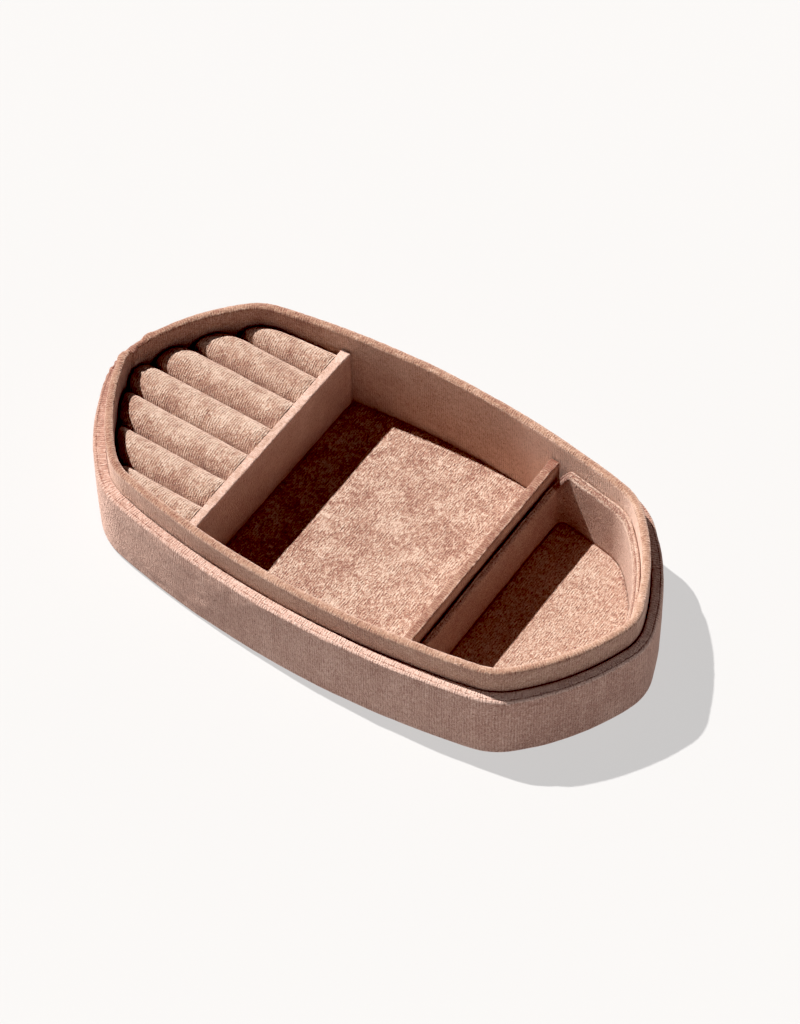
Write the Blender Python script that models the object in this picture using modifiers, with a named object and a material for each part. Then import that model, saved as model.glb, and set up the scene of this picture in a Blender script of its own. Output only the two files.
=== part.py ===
"""Base of a velvet ring box: padded shell, raised neck, ring rolls, two dividers and a drop-in tray.

Millimetres below, metres in the scene. +X is the long axis towards the tray, +Y runs across,
+Z is up, and the origin is on the table under the middle of the box.
"""

import math

import bpy
from mathutils import Vector

MM = 0.001

# Plan of the neck's outer face: two long sides and two blunt points, every side bowed outwards.
NECK_HALF_LENGTH = 100.0
NECK_HALF_WIDTH = 50.9
CORNER_X = 73.0
LONG_SIDE_BOW = 8.4
END_SIDE_BOW = 3.9
CORNER_RADIUS = 21.4
POINT_RADIUS = 15.8
POINT_STEPS, END_STEPS, CORNER_STEPS, LONG_STEPS = 2, 6, 4, 6

# Gaps left between pieces that touch, and cloth thickness.
GAP = 0.3
SLIP = 0.25
VELVET = 0.5
THIN_VELVET = 0.45
CORE_DROP = 0.3

# Shell: a thick board wrapped in velvet, hemmed under the box.
SHELL_HEIGHT = 28.8
SHELL_OUT = 4.2
SHELL_IN = 0.45
SHELL_ROUND = 1.2
SHELL_TUCK_Z = 12.0
HEM_Z = 0.65
HEM_REACH = 6.0

# Bottom.
LINING = 0.4
BOARD_Z = 1.4
BASE_BOARD = 1.4
INSIDE_Z = BOARD_Z + BASE_BOARD + GAP

# Neck: a thin board standing on the base board, velvet over both faces.
NECK_TOP = 38.1
NECK_WALL = 2.9

# Dividers.
LEFT_DIVIDER_X, LEFT_DIVIDER_TOP = -41.8, 29.8
RIGHT_DIVIDER_X, RIGHT_DIVIDER_TOP = 40.1, 29.2
DIVIDER_WALL = 3.1
FLOOR_CARD = 1.1

# Ring bay.
ROLLS = 7
ROLL_PITCH = 12.88
ROLL_GAP = 0.4
ROLL_CREST = 30.8
ROLL_RISE = 6.2
ROLL_BASE_CARD = 1.5
ROLL_END_ROUND = 2.4
ROLL_WALL_GAP = 0.7
OUTER_ROLL_EDGE = 43.6
ROLL_LEAST = 5.0
OUTER_FOAM_EXTRA = 0.5
ROLL_ARC_STEPS = 8

# Drop-in tray: its side next to the divider is lower than its other sides.
TRAY_LEFT_X = 42.1
TRAY_CLEARANCE = 0.4
TRAY_TOP = 30.3
TRAY_LOW_TOP = 24.0
TRAY_WALL = 2.3
TRAY_CORNER_RADIUS = 5.5
TRAY_SLOPE_ROOM = 0.9
TRAY_FLOOR_BOARD = 0.9

VELVET_COLOUR = (0.62, 0.36, 0.28, 1.0)


def on_circle(centre, radius, angle):
    return (centre[0] + radius * math.cos(angle), centre[1] + radius * math.sin(angle))


def bowed_side(start, end, bow):
    """Centre and radius of the arc from start to end, bulging to the right of the direction of travel."""
    start, end = Vector(start), Vector(end)
    chord = end - start
    radius = (chord.length_squared / 4 + bow * bow) / (2 * bow)
    outward = Vector((chord.y, -chord.x)).normalized()
    return (start + end) / 2 + outward * (bow - radius), radius


def circles_meet(c1, r1, c2, r2, near):
    """The point shared by two circles that lies nearer to near."""
    across = c2 - c1
    d = across.length
    along = (r1 * r1 - r2 * r2 + d * d) / (2 * d)
    side = math.sqrt(max(r1 * r1 - along * along, 0.0))
    foot = c1 + across * (along / d)
    normal = Vector((-across.y, across.x)) / d
    return min((foot + normal * side, foot - normal * side), key=lambda p: (p - near).length)


def direction(a, b):
    return math.atan2(b[1] - a[1], b[0] - a[0])


def plan_arcs(offset):
    """The four arcs of one quarter of the plan, from the right point to the middle of the far long side."""
    corner = Vector((CORNER_X, NECK_HALF_WIDTH - LONG_SIDE_BOW))
    end_c, end_r = bowed_side((NECK_HALF_LENGTH, 0.0), corner, END_SIDE_BOW)
    long_c, long_r = bowed_side(corner, (-corner.x, corner.y), LONG_SIDE_BOW)
    corner_c = circles_meet(end_c, end_r - CORNER_RADIUS, long_c, long_r - CORNER_RADIUS, corner)
    end_mirror = Vector((end_c.x, -end_c.y))
    tip = Vector((NECK_HALF_LENGTH, 0.0))
    point_c = circles_meet(end_c, end_r - POINT_RADIUS, end_mirror, end_r - POINT_RADIUS, tip)
    turn_1, turn_2 = direction(end_c, point_c), direction(end_c, corner_c)
    turn_3 = direction(long_c, corner_c)
    return [
        (point_c, POINT_RADIUS + offset, 0.0, turn_1, POINT_STEPS),
        (end_c, end_r + offset, turn_1, turn_2, END_STEPS),
        (corner_c, CORNER_RADIUS + offset, turn_2, turn_3, CORNER_STEPS),
        (long_c, long_r + offset, turn_3, math.pi / 2, LONG_STEPS),
    ]


def quarter(offset):
    points = []
    for centre, radius, a0, a1, steps in plan_arcs(offset):
        first = 1 if points else 0
        points += [on_circle(centre, radius, a0 + (a1 - a0) * k / steps) for k in range(first, steps + 1)]
    return points


def plan(offset):
    """The whole plan, anticlockwise, grown outwards by offset from the neck's outer face."""
    q = quarter(offset)
    top = q + [(-x, y) for x, y in reversed(q[:-1])]
    return top + [(x, -y) for x, y in reversed(top[1:-1])]


def half_width(offset, x):
    """Half the width of the plan at x."""
    q = quarter(offset)
    for (xa, ya), (xb, yb) in zip(q, q[1:]):
        if xb - 0.001 <= abs(x) <= xa:
            return ya + (yb - ya) * (xa - abs(x)) / (xa - xb)
    return 0.0


def half_length(offset, y):
    """Half the length of the plan at y."""
    q = quarter(offset)
    for (xa, ya), (xb, yb) in zip(q, q[1:]):
        if ya <= abs(y) <= yb:
            return xa + (xb - xa) * (abs(y) - ya) / (yb - ya)
    return 0.0


def bay(offset, x_low, x_high):
    """The plan cut off at x_low and x_high."""
    points = plan(offset)
    for limit, sign in ((x_low, 1.0), (x_high, -1.0)):
        kept = []
        for (xa, ya), (xb, yb) in zip(points, points[1:] + points[:1]):
            a_in, b_in = (xa - limit) * sign >= 0, (xb - limit) * sign >= 0
            if a_in:
                kept.append((xa, ya))
            if a_in != b_in:
                kept.append((limit, ya + (yb - ya) * (limit - xa) / (xb - xa)))
        points = kept
    return points


def tray_plan(inset):
    """The tray's outline, anticlockwise: it follows the neck and is straight beside the divider."""
    offset = -NECK_WALL - TRAY_CLEARANCE - inset
    left = TRAY_LEFT_X + inset
    radius = max(TRAY_CORNER_RADIUS - inset, 0.6)
    long_c, long_r = plan_arcs(offset)[3][:2]
    cx = left + radius
    cy = long_c.y + math.sqrt((long_r - radius) ** 2 - (cx - long_c.x) ** 2)
    end_angle = direction(long_c, (cx, cy))
    edge = on_circle(long_c, long_r, end_angle)
    upper = [(x, y) for x, y in quarter(offset) if x > edge[0] + 0.5] + [edge]
    upper += [on_circle((cx, cy), radius, end_angle + (math.pi - end_angle) * k / 6) for k in range(1, 7)]
    return upper + [(x, -y) for x, y in reversed(upper[1:])]


def tray_top(point, lowered=0.0):
    """Height of the tray's rim: low beside the divider, rising round the two corners at the ends of that side."""
    corner_x = TRAY_LEFT_X + TRAY_CORNER_RADIUS
    long_c, long_r = plan_arcs(-NECK_WALL - TRAY_CLEARANCE)[3][:2]
    corner_y = long_c.y + math.sqrt((long_r - TRAY_CORNER_RADIUS) ** 2 - (corner_x - long_c.x) ** 2)
    beyond = abs(point[1]) - corner_y
    if point[0] >= corner_x:
        reach = 1.0
    else:
        reach = math.atan2(max(beyond, 0.0), corner_x - point[0]) / (math.pi / 2)
    blend = reach * reach * (3 - 2 * reach)
    return TRAY_LOW_TOP + (TRAY_TOP - TRAY_LOW_TOP) * blend - lowered


for old in list(bpy.data.objects):
    bpy.data.objects.remove(old)

ring_box = bpy.data.collections.new("velvet_ring_box")
bpy.context.scene.collection.children.link(ring_box)


def material(name, colour, roughness):
    made = bpy.data.materials.new(name)
    made.use_nodes = True
    shader = made.node_tree.nodes["Principled BSDF"]
    shader.inputs["Base Color"].default_value = colour
    shader.inputs["Roughness"].default_value = roughness
    return made


def piece(name, verts, faces, colour, at=(0.0, 0.0, 0.0), parent=None, roughness=0.9):
    """One named object whose vertices are given in millimetres from its own location."""
    mesh = bpy.data.meshes.new(name)
    mesh.from_pydata([tuple(c * MM for c in v) for v in verts], [], faces)
    mesh.update()
    made = bpy.data.objects.new(name, mesh)
    made.data.materials.append(material(name, colour, roughness))
    ring_box.objects.link(made)
    made.parent = parent
    made.location = Vector(at) * MM
    return made


def thicken(made, thickness, inward=True):
    """Gives a sheet its thickness, on the side its faces look away from."""
    solid = made.modifiers.new("thickness", "SOLIDIFY")
    solid.thickness = thickness * MM
    solid.offset = -1.0 if inward else 1.0
    solid.use_even_offset = True
    solid.use_rim = True
    return made


def strips(rings, closed):
    """Quads between successive rings or rows of equal length."""
    n = len(rings[0])
    span = n if closed else n - 1
    faces = []
    for r in range(len(rings) - 1):
        for k in range(span):
            j = (k + 1) % n
            faces.append((r * n + k, r * n + j, (r + 1) * n + j, (r + 1) * n + k))
    return [v for ring in rings for v in ring], faces


def plate(name, outline, z, thickness, colour, parent=None, roughness=0.9):
    """A flat sheet standing on z."""
    verts = [(x, y, thickness) for x, y in outline]
    made = piece(name, verts, [tuple(range(len(verts)))], colour, (0, 0, z), parent, roughness)
    return thicken(made, thickness)


def ring_of(profile, outline, colour, name, thickness, at_z=0.0, parent=None, top=None):
    """A sheet that follows an outline: profile holds (offset, z), or (inset, depth below top)."""
    rings = []
    for offset, z in profile:
        loop = outline(offset)
        rings.append([(x, y, (top((x, y)) - z if top else z) - at_z) for x, y in loop])
    verts, faces = strips(rings, True)
    return thicken(piece(name, verts, faces, colour, (0, 0, at_z), parent), thickness)


# --- Bottom of the box ---
base_board = plate("base_board", plan(SHELL_IN + VELVET), BOARD_Z, BASE_BOARD, (0.42, 0.35, 0.29, 1.0))


def inside_base(made):
    """Hangs a piece on the base board without moving it."""
    made.parent = base_board
    made.location -= base_board.location
    return made


inside_base(plate("base_lining", plan(SHELL_OUT - 0.7), 0.0, LINING, (0.30, 0.17, 0.14, 1.0)))

# --- Shell ---
board_out = SHELL_OUT - VELVET - SLIP
board_in = SHELL_IN + VELVET + SLIP
inside_base(ring_of(
    [(board_out, BOARD_Z), (board_out, SHELL_HEIGHT - VELVET - SLIP - CORE_DROP)],
    plan, (0.48, 0.40, 0.33, 1.0), "outer_wall_board", board_out - board_in,
))
r = SHELL_ROUND
inside_base(ring_of(
    [
        (-HEM_REACH, HEM_Z),
        (SHELL_OUT - 0.5, HEM_Z),
        (SHELL_OUT, HEM_Z + 0.5),
        (SHELL_OUT, SHELL_HEIGHT - r),
        (SHELL_OUT - 0.35 * r, SHELL_HEIGHT - 0.35 * r),
        (SHELL_OUT - r, SHELL_HEIGHT),
        (SHELL_IN + r, SHELL_HEIGHT),
        (SHELL_IN + 0.35 * r, SHELL_HEIGHT - 0.35 * r),
        (SHELL_IN, SHELL_HEIGHT - r),
        (SHELL_IN, SHELL_TUCK_Z),
    ],
    plan, VELVET_COLOUR, "outer_wall_velvet", VELVET,
))

# --- Neck ---
neck_board_out = -THIN_VELVET - SLIP
neck_board = NECK_WALL - 2 * (THIN_VELVET + SLIP)
inside_base(ring_of(
    [(neck_board_out, INSIDE_Z), (neck_board_out, NECK_TOP - THIN_VELVET - SLIP - CORE_DROP)],
    plan, (0.48, 0.40, 0.33, 1.0), "neck_board", neck_board,
))
inside_base(ring_of(
    [
        (0.0, INSIDE_Z),
        (0.0, NECK_TOP - 1.0),
        (-0.7, NECK_TOP),
        (-NECK_WALL + 0.7, NECK_TOP),
        (-NECK_WALL, NECK_TOP - 1.0),
        (-NECK_WALL, INSIDE_Z),
    ],
    plan, VELVET_COLOUR, "neck_velvet", THIN_VELVET,
))


# --- Dividers: a board with velvet folded over its top edge ---
def divider(side, x, top):
    half = DIVIDER_WALL / 2
    reach = half_width(-NECK_WALL - GAP, abs(x) + half)
    core = half - THIN_VELVET - SLIP
    bpy.ops.mesh.primitive_cube_add(size=1.0)
    board = bpy.context.object
    board.name = f"{side}_divider_board"
    board.data.name = board.name
    core_top = top - THIN_VELVET - SLIP - CORE_DROP
    board.location = Vector((x, 0.0, (INSIDE_Z + core_top) / 2)) * MM
    for v in board.data.vertices:
        v.co.x *= 2 * core * MM
        v.co.y *= 2 * (reach - GAP) * MM
        v.co.z *= (core_top - INSIDE_Z) * MM
    board.data.materials.append(material(board.name, (0.45, 0.37, 0.30, 1.0), 0.9))
    for old in list(board.users_collection):
        old.objects.unlink(board)
    ring_box.objects.link(board)
    inside_base(board)
    low, high = INSIDE_Z, top
    fold = [
        (half, low), (half, high - 1.2), (half - 0.35, high - 0.35), (half - 1.2, high),
        (1.2 - half, high), (0.35 - half, high - 0.35), (-half, high - 1.2), (-half, low),
    ]
    rows = [[(px, y, pz) for px, pz in fold] for y in (-reach, reach)]
    verts, faces = strips(rows, False)
    cloth = piece(f"{side}_divider_velvet", verts, [tuple(reversed(f)) for f in faces], VELVET_COLOUR, (x, 0, 0))
    inside_base(thicken(cloth, THIN_VELVET))


divider("left", LEFT_DIVIDER_X, LEFT_DIVIDER_TOP)
divider("right", RIGHT_DIVIDER_X, RIGHT_DIVIDER_TOP)

# --- Middle compartment floor ---
half_wall = DIVIDER_WALL / 2 + GAP
middle = bay(-NECK_WALL - GAP, LEFT_DIVIDER_X + half_wall, RIGHT_DIVIDER_X - half_wall)
inside_base(plate("floor_card", middle, INSIDE_Z, FLOOR_CARD, (0.50, 0.42, 0.35, 1.0)))
inside_base(plate("floor_velvet", middle, INSIDE_Z + FLOOR_CARD + SLIP, VELVET, VELVET_COLOUR))

# --- Ring bay ---
bay_right = LEFT_DIVIDER_X - half_wall
inside_base(plate(
    "ring_base_card", bay(-NECK_WALL - GAP, -200.0, bay_right),
    INSIDE_Z, ROLL_BASE_CARD, (0.50, 0.42, 0.35, 1.0),
))
roll_low = INSIDE_Z + ROLL_BASE_CARD + GAP


def roll(number):
    """One ring roll: a foam strip with a round top, cut along the neck's wall, in its own velvet cover."""
    centre = ROLL_PITCH * ((ROLLS + 1) / 2 - number)
    y_low = centre - (ROLL_PITCH - ROLL_GAP) / 2
    y_high = centre + (ROLL_PITCH - ROLL_GAP) / 2
    y_low, y_high = max(y_low, -OUTER_ROLL_EDGE), min(y_high, OUTER_ROLL_EDGE)
    middle_y, half = (y_low + y_high) / 2, (y_high - y_low) / 2

    def left_end(inset, y):
        """Where the roll stops: along the neck's wall, and never closer than ROLL_LEAST to the divider."""
        along_wall = -half_length(-NECK_WALL - ROLL_WALL_GAP - inset, y)
        return min(along_wall, bay_right - ROLL_LEAST + inset)

    def row(shrink, end_inset, left):
        """One cross-section, smaller all round by shrink, at end_inset from the bay's left or right end."""
        section = [(middle_y + half - shrink, roll_low)]
        for k in range(ROLL_ARC_STEPS + 1):
            a = math.pi * k / ROLL_ARC_STEPS
            section.append((
                middle_y + (half - shrink) * math.cos(a),
                ROLL_CREST - ROLL_RISE + (ROLL_RISE - shrink) * math.sin(a),
            ))
        section.append((middle_y - half + shrink, roll_low))
        return [
            (left_end(end_inset, y) if left else bay_right - end_inset, y - centre, z)
            for y, z in section
        ]

    def loaf(shrink):
        ends = ((ROLL_END_ROUND, 0.0), (0.35 * ROLL_END_ROUND, 0.35 * ROLL_END_ROUND), (0.0, ROLL_END_ROUND))
        rows = [row(shrink + s * 0.8, shrink + g, True) for s, g in ends]
        rows.append(row(shrink, shrink, False))
        verts, faces = strips(rows, False)
        n = len(rows[0])
        last = (len(rows) - 1) * n
        for k in range(n // 2):
            a, b, c, d = k, k + 1, n - 2 - k, n - 1 - k
            if b == c:
                faces.append((d, b, a))
                faces.append((last + a, last + b, last + d))
            else:
                faces.append((d, c, b, a))
                faces.append((last + a, last + b, last + c, last + d))
        return verts, faces, n, len(rows)

    def under(n, count, first=0):
        """The open bottom edge of a loaf, seen from below as an anticlockwise loop."""
        loop = [r * n + n - 1 for r in range(count)] + [r * n for r in reversed(range(count))]
        return [first + k for k in reversed(loop)]

    outer, outer_faces, n, count = loaf(0.0)
    inner, inner_faces, n, count = loaf(THIN_VELVET)
    shift = len(outer)
    faces = outer_faces + [tuple(shift + k for k in reversed(f)) for f in inner_faces]
    rim_out, rim_in = under(n, count), under(n, count, shift)
    for k in range(len(rim_out)):
        j = (k + 1) % len(rim_out)
        faces.append((rim_out[k], rim_out[j], rim_in[j], rim_in[k]))
    inside_base(piece(f"ring_roll_velvet_{number}", outer + inner, faces, VELVET_COLOUR, (0, centre, 0)))
    looser = OUTER_FOAM_EXTRA if number in (1, ROLLS) else 0.0
    verts, faces, n, count = loaf(THIN_VELVET + SLIP + looser)
    faces.append(tuple(under(n, count)))
    inside_base(piece(f"ring_roll_foam_{number}", verts, faces, (0.86, 0.84, 0.78, 1.0), (0, centre, 0)))


for roll_number in range(1, ROLLS + 1):
    roll(roll_number)

# --- Drop-in tray ---
tray_wall_z = INSIDE_Z + TRAY_FLOOR_BOARD + SLIP
tray_floor = plate("tray_floor_board", tray_plan(0.0), INSIDE_Z, TRAY_FLOOR_BOARD, (0.48, 0.40, 0.33, 1.0))


def on_tray(made):
    made.parent = tray_floor
    made.location -= tray_floor.location
    return made


plate_z = INSIDE_Z + TRAY_FLOOR_BOARD + SLIP
on_tray(plate("tray_floor_velvet", tray_plan(TRAY_WALL + GAP), plate_z, VELVET, VELVET_COLOUR))


def tray_ring(name, profile, thickness, colour):
    """A sheet round the tray: profile holds (inset, z), with z None for the rim less a depth."""
    rings = []
    for inset, z, depth in profile:
        loop = tray_plan(inset)
        rings.append([(x, y, (tray_top((x, y), depth) if z is None else z) - tray_wall_z) for x, y in loop])
    verts, faces = strips(rings, True)
    return on_tray(thicken(piece(name, verts, faces, colour, (0, 0, tray_wall_z)), thickness))


core = THIN_VELVET + SLIP
tray_ring(
    "tray_wall_board", [(core, tray_wall_z, 0.0), (core, None, core + CORE_DROP + TRAY_SLOPE_ROOM)],
    TRAY_WALL - 2 * core, (0.48, 0.40, 0.33, 1.0),
)
tray_ring(
    "tray_wall_velvet",
    [
        (0.0, tray_wall_z, 0.0), (0.0, None, 1.0), (0.7, None, 0.0),
        (TRAY_WALL - 0.7, None, 0.0), (TRAY_WALL, None, 1.0), (TRAY_WALL, tray_wall_z, 0.0),
    ],
    THIN_VELVET, VELVET_COLOUR,
)
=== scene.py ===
import math

import bpy
import numpy as np
from mathutils import Matrix, Vector


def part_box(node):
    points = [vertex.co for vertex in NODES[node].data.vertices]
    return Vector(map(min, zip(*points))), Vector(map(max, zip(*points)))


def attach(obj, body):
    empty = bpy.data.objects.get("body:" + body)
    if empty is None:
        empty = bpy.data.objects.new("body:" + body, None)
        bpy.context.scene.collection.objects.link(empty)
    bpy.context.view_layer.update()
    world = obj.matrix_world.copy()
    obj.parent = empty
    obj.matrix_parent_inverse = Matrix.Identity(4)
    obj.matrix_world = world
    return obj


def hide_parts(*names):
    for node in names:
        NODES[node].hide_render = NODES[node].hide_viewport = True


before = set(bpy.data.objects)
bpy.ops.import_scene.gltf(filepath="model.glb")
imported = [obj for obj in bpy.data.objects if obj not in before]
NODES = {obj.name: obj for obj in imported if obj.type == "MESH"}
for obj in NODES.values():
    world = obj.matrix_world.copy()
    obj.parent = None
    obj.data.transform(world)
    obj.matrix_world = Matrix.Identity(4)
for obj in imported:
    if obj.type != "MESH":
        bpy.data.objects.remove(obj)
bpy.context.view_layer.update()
MM = 0.001


def top_of(node):
    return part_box(node)[1].z / MM


def low_of(node):
    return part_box(node)[0].z / MM


# ---------------------------------------------------------------------------
# Camera: a long lens, seen from the near side of the box and a little from the tray end
# ---------------------------------------------------------------------------
AZIMUTH, ELEVATION, TILT = math.radians(34.8), math.radians(52.5), math.radians(-0.86)
DISTANCE = 1.2978
OFF_RIGHT, OFF_UP = 0.00798, 0.01316
LENS = 139.53
SENSOR = 36.0
BLACK_LEVEL = (0.010, 0.013, 0.010)

back = Vector((
    math.sin(AZIMUTH) * math.cos(ELEVATION),
    -math.cos(AZIMUTH) * math.cos(ELEVATION),
    math.sin(ELEVATION),
))
level = Vector((math.cos(AZIMUTH), math.sin(AZIMUTH), 0.0))
rise = back.cross(level)
right = level * math.cos(TILT) + rise * math.sin(TILT)
up = rise * math.cos(TILT) - level * math.sin(TILT)

lens = bpy.data.cameras.new("camera")
lens.lens = LENS
lens.sensor_width = SENSOR
lens.clip_start, lens.clip_end = 0.05, 50.0
camera = bpy.data.objects.new("camera", lens)
bpy.context.scene.collection.objects.link(camera)
camera.matrix_world = Matrix((
    (right.x, up.x, back.x, 0.0),
    (right.y, up.y, back.y, 0.0),
    (right.z, up.z, back.z, 0.0),
    (0.0, 0.0, 0.0, 1.0),
))
camera.location = back * DISTANCE + right * OFF_RIGHT + up * OFF_UP
bpy.context.scene.camera = camera
view = bpy.context.scene.view_settings
view.view_transform = "Standard"
view.look = "None"
view.use_curve_mapping = True
view.curve_mapping.black_level = BLACK_LEVEL
view.curve_mapping.update()

# ---------------------------------------------------------------------------
# Plan of the box, the same arcs as the CAD part, in millimetres
# ---------------------------------------------------------------------------
HALF_LENGTH, HALF_WIDTH, CORNER_X = 100.0, 50.9, 73.0
LONG_BOW, END_BOW, CORNER_R, POINT_R = 8.4, 3.9, 21.4, 15.8


def bowed(p, q, bow):
    """Centre and radius of the arc from p to q that bows outward by bow."""
    p, q = np.array(p), np.array(q)
    d = q - p
    length = math.hypot(*d)
    radius = (length * length / 4 + bow * bow) / (2 * bow)
    outward = np.array((d[1], -d[0])) / length
    return (p + q) / 2 + outward * (bow - radius), radius


def meet(c1, r1, c2, r2, near):
    """Where two circles cross, taking the crossing closer to near."""
    d = c2 - c1
    dist = math.hypot(*d)
    a = (r1 * r1 - r2 * r2 + dist * dist) / (2 * dist)
    h = math.sqrt(max(r1 * r1 - a * a, 0.0))
    foot, n = c1 + d * a / dist, np.array((-d[1], d[0])) / dist
    return min((foot + n * h, foot - n * h), key=lambda s: math.hypot(*(s - near)))


def turn(a, b):
    """The direction from a to b, in radians."""
    return math.atan2(b[1] - a[1], b[0] - a[0])


CORNER = np.array((CORNER_X, HALF_WIDTH - LONG_BOW))
END_C, END_R = bowed((HALF_LENGTH, 0.0), CORNER, END_BOW)
LONG_C, LONG_R = bowed(CORNER, CORNER * (-1, 1), LONG_BOW)
CORNER_C = meet(END_C, END_R - CORNER_R, LONG_C, LONG_R - CORNER_R, CORNER)
POINT_C = meet(
    END_C, END_R - POINT_R, END_C * (1, -1), END_R - POINT_R, np.array((HALF_LENGTH, 0.0))
)
ARCS = [
    (POINT_C, POINT_R, 0.0, turn(END_C, POINT_C)),
    (END_C, END_R, turn(END_C, POINT_C), turn(END_C, CORNER_C)),
    (CORNER_C, CORNER_R, turn(END_C, CORNER_C), turn(LONG_C, CORNER_C)),
    (LONG_C, LONG_R, turn(LONG_C, CORNER_C), math.pi / 2),
]


def quarter(step):
    """Points and outward normals of one quarter of the neck's plan, about step mm apart.

    They lie closer round the end point."""
    points, normals = [], []
    for c, r, a0, a1 in ARCS:
        near_point = r == POINT_R
        n = max(2, round(abs(a1 - a0) * r / (step / 3 if near_point else step)))
        for k in range(0 if not points else 1, n + 1):
            a = a0 + (a1 - a0) * k / n
            normal = np.array((math.cos(a), math.sin(a)))
            points.append(c + r * normal)
            normals.append(normal)
    return np.array(points), np.array(normals)


def with_near_side(p, n):
    """A closed loop from its far half: points, normals and length along it."""
    points = np.vstack([p, (p[1:-1] * (1, -1))[::-1]])
    normals = np.vstack([n, (n[1:-1] * (1, -1))[::-1]])
    gap = np.linalg.norm(np.roll(points, -1, 0) - points, axis=1)
    return points, normals, np.concatenate([[0.0], np.cumsum(gap)])


def outline(step):
    """The whole plan anticlockwise from the right point: points, normals and length along it."""
    p, n = quarter(step)
    return with_near_side(
        np.vstack([p, (p[:-1] * (-1, 1))[::-1]]), np.vstack([n, (n[:-1] * (-1, 1))[::-1]])
    )


FINE_STEP = 0.4
FINE_P, FINE_N = quarter(FINE_STEP)


def half_width(offset, x):
    """The plan's half width at x, grown outward by offset."""
    q = FINE_P + FINE_N * offset
    return np.interp(np.abs(x), q[::-1, 0], q[::-1, 1])


def half_length(offset, y):
    """The plan's half length at y, grown outward by offset."""
    q = FINE_P + FINE_N * offset
    return np.interp(np.abs(y), q[:, 1], q[:, 0], right=0.0)


# ---------------------------------------------------------------------------
# Smooth repeatable noise
# ---------------------------------------------------------------------------
def lattice(i, j, k, seed):
    """A fixed value from -1 to 1 for each cell corner."""
    h = (i * 374761393 + j * 668265263 + k * 2147483647 + seed * 974634777) & 0xFFFFFFFF
    h = ((h ^ (h >> 13)) * 1274126177) & 0xFFFFFFFF
    return ((h ^ (h >> 16)) & 0xFFFF) / 32767.5 - 1.0


def noise(p, size, seed=0):
    """Value noise from -1 to 1 at points p, with cells of the given size."""
    q = np.asarray(p, float) / size
    base = np.floor(q).astype(np.int64)
    f = q - base
    f = f * f * (3 - 2 * f)
    total = 0.0
    for dx in (0, 1):
        for dy in (0, 1):
            for dz in (0, 1):
                w = (
                    (f[..., 0] if dx else 1 - f[..., 0])
                    * (f[..., 1] if dy else 1 - f[..., 1])
                    * (f[..., 2] if dz else 1 - f[..., 2])
                )
                total = total + w * lattice(
                    base[..., 0] + dx, base[..., 1] + dy, base[..., 2] + dz, seed
                )
    return total


def smooth(t):
    """An eased step: 0 below 0, 1 above 1."""
    t = np.clip(t, 0.0, 1.0)
    return t * t * (3 - 2 * t)


def falloff(distance, reach):
    """1 at distance 0, easing to 0 over a few times reach."""
    return np.exp(-((distance / reach) ** 2))


def lengths_along(path):
    """Length along a path of (a, b) pairs at each of its points."""
    return np.concatenate([[0.0], np.cumsum(np.linalg.norm(np.diff(path, axis=0), axis=1))])


# ---------------------------------------------------------------------------
# Mesh building
# ---------------------------------------------------------------------------
WEAVE_UNIT = 100  # the weave map counts in units of 10 mm


def build(name, points, quads, weave, mat, ngons=(), nap_and_painted_light=None):
    """A smooth mesh from points in mm.

    weave holds each point's place across and along the cloth's rows, in mm."""
    mesh = bpy.data.meshes.new(name)
    faces = [tuple(int(v) for v in face) for face in [*quads, *ngons]]
    mesh.from_pydata((np.asarray(points) * MM).tolist(), [], faces)
    mesh.polygons.foreach_set("use_smooth", [True] * len(mesh.polygons))
    uv = mesh.uv_layers.new(name="weave")
    loops = np.zeros(len(mesh.loops), np.int32)
    mesh.loops.foreach_get("vertex_index", loops)
    weave = np.asarray(weave)[loops] * MM * WEAVE_UNIT
    uv.data.foreach_set("uv", weave.astype(np.float32).ravel())
    # each point's tone: the pile's lie, with painted light and shade
    lie = mesh.attributes.new("nap_and_painted_light", "FLOAT", "POINT")
    lie.data.foreach_set(
        "value", np.zeros(len(points)) if nap_and_painted_light is None else np.asarray(nap_and_painted_light, float).ravel()
    )
    mesh.materials.append(mat)
    mesh.validate()
    made = bpy.data.objects.new(name, mesh)
    bpy.context.scene.collection.objects.link(made)
    return made


def grid_faces(rows, cols, wrap_rows=False, wrap_cols=False):
    """The quads of a grid of points, closed on itself in either direction."""
    r = np.arange(rows if wrap_rows else rows - 1)
    c = np.arange(cols if wrap_cols else cols - 1)
    rr, cc = np.meshgrid(r, c, indexing="ij")
    r2, c2 = (rr + 1) % rows, (cc + 1) % cols
    corners = [rr * cols + cc, rr * cols + c2, r2 * cols + c2, r2 * cols + cc]
    return np.stack(corners, -1).reshape(-1, 4)


def resample(path, step):
    """Points about step apart along a polyline of (a, b) pairs, keeping its corners."""
    path = np.asarray(path, float)
    out = [path[0]]
    for p, q in zip(path, path[1:]):
        n = max(1, int(round(math.hypot(*(q - p)) / step)))
        out += [p + (q - p) * k / n for k in range(1, n + 1)]
    return np.array(out)


def arc_points(cx, cy, rx, ry, a0, a1, n):
    """n points of an ellipse's arc, from a0 to a1 degrees."""
    a = np.radians(np.linspace(a0, a1, n))
    return np.column_stack([cx + rx * np.cos(a), cy + ry * np.sin(a)])


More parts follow.
